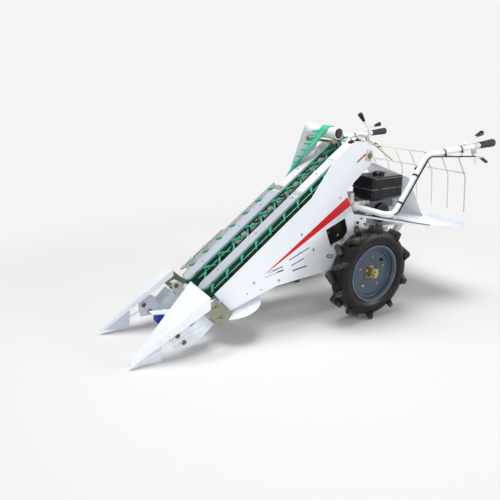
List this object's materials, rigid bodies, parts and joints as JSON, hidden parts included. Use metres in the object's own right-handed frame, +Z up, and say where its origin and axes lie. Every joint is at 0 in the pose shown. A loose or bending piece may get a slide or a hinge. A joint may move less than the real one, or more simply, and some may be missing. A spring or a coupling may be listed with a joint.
{
  "type": "walk-behind bean harvester",
  "caption": "Walk-behind bean harvester with lugged drive wheels, an inclined pair of tined belts, pointed crop dividers, rear tray and handlebar.",
  "frame": {"origin": "on the ground, under the middle of the machine's length and width", "axes": "+X forward to the divider tips, +Y to the machine's left, +Z up"},
  "size_m": [2.2553, 0.9426, 1.1362],
  "materials": {
    "white_paint": "gloss white sheet paint",
    "grey_paint": "silver grey paint",
    "belt_green": "green belt with tines",
    "tyre_black": "matt lugged tyre",
    "rim_blue": "blue-grey paint",
    "zinc": "yellow zinc plate",
    "casting": "pale painted casting",
    "black_plastic": "black moulding",
    "grip_rubber": "dark grey grip",
    "steel": "bare steel",
    "blue_plastic": "blue moulding",
    "flap_rubber": "olive grey flap",
    "engine_alloy": "cast alloy",
    "wire_cream": "cream painted wire",
    "rod_tan": "tan rod",
    "frame_paint": "white frame paint"
  },
  "bodies": {
    "chassis": {"axle_case": "casting", "bearing_brackets": "casting", "belt_case_left": "grey_paint", "belt_case_right": "grey_paint", "brake_levers": "wire_cream", "chute": "white_paint", "chute_post": "frame_paint", "clutch_levers": "steel", "comb_rack": "wire_cream", "control_cables": "black_plastic", "deck_stand_front": "frame_paint", "deck_stand_rear": "frame_paint", "disc_guards": "white_paint", "discharge_tray": "white_paint", "divider_flaps": "flap_rubber", "divider_frame_left": "grey_paint", "divider_frame_right": "grey_paint", "divider_hood_left": "white_paint", "divider_hood_right": "white_paint", "drive_case": "black_plastic", "engine_bed": "frame_paint", "engine_block": "engine_alloy", "frame_rails": "frame_paint", "front_housing": "casting", "fuel_cap": "black_plastic", "fuel_tank": "black_plastic", "grips": "grip_rubber", "guide_rod": "rod_tan", "handle_posts": "frame_paint", "handlebar": "white_paint", "lever_knobs": "black_plastic", "lower_pulleys": "casting", "muffler": "steel", "nose_cap": "blue_plastic", "nose_tongue": "white_paint", "pipe_bracket": "white_paint", "recoil_cover": "black_plastic", "shift_lever": "steel", "side_panel_left": "white_paint", "side_panel_right": "white_paint", "side_rod": "rod_tan", "tined_belt_left": "belt_green", "tined_belt_right": "belt_green", "top_pipe": "white_paint", "top_rod": "zinc", "tray_arms": "frame_paint", "upper_cover": "white_paint", "upper_pulleys": "casting"},
    "left_wheel": {"tyre_left": "tyre_black", "rim_left": "rim_blue", "hub_left": "zinc"},
    "left_cutter": {"cutter_disc_left": "steel"},
    "right_wheel": {"tyre_right": "tyre_black", "rim_right": "rim_blue", "hub_right": "zinc"},
    "right_cutter": {"cutter_disc_right": "steel"}
  },
  "joints": [
    {"name": "left_wheel_spin", "type": "hinge", "parent": "chassis", "child": "left_wheel", "pos_m": [-0.273, 0.3525, 0.275], "axis": [0, 1, 0], "continuous": true},
    {"name": "left_cutter_spin", "type": "hinge", "parent": "chassis", "child": "left_cutter", "pos_m": [0.502, 0.15, 0.165], "axis": [0.2079, 0, 0.9781], "continuous": true},
    {"name": "right_wheel_spin", "type": "hinge", "parent": "chassis", "child": "right_wheel", "pos_m": [-0.273, -0.3525, 0.275], "axis": [0, 1, 0], "continuous": true},
    {"name": "right_cutter_spin", "type": "hinge", "parent": "chassis", "child": "right_cutter", "pos_m": [0.502, -0.15, 0.165], "axis": [0.2079, 0, 0.9781], "continuous": true}
  ]
}
